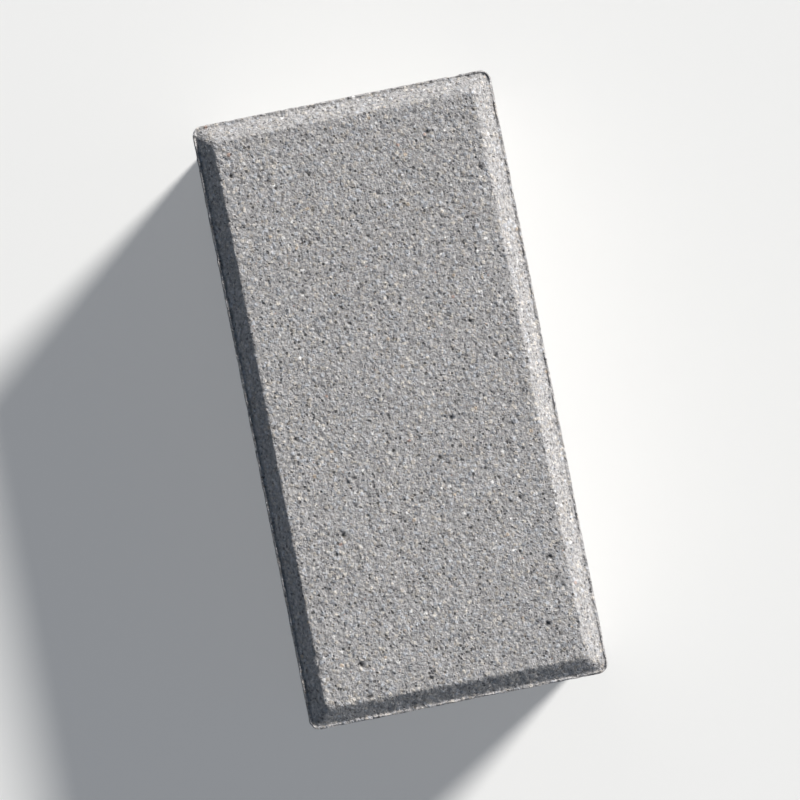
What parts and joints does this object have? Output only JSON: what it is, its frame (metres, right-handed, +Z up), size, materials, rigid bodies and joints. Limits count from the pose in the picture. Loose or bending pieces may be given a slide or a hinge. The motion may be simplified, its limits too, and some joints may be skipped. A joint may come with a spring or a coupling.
{
  "type": "concrete paving stone",
  "caption": "Rectangular grey concrete paving stone with a chamfered walking face, laid flat on a bedding layer to pave paths and yards.",
  "frame": {"origin": "middle of the bed face, the underside that rests on the ground", "axes": "+X along the stone's length, +Y across its width, +Z up out of the walking face"},
  "size_m": [0.198, 0.098, 0.08],
  "materials": {
    "concrete": "matt grey pressed concrete, fine sandy grain with open pores"
  },
  "bodies": {
    "root": {"paving_stone": "concrete"}
  },
  "joints": []
}
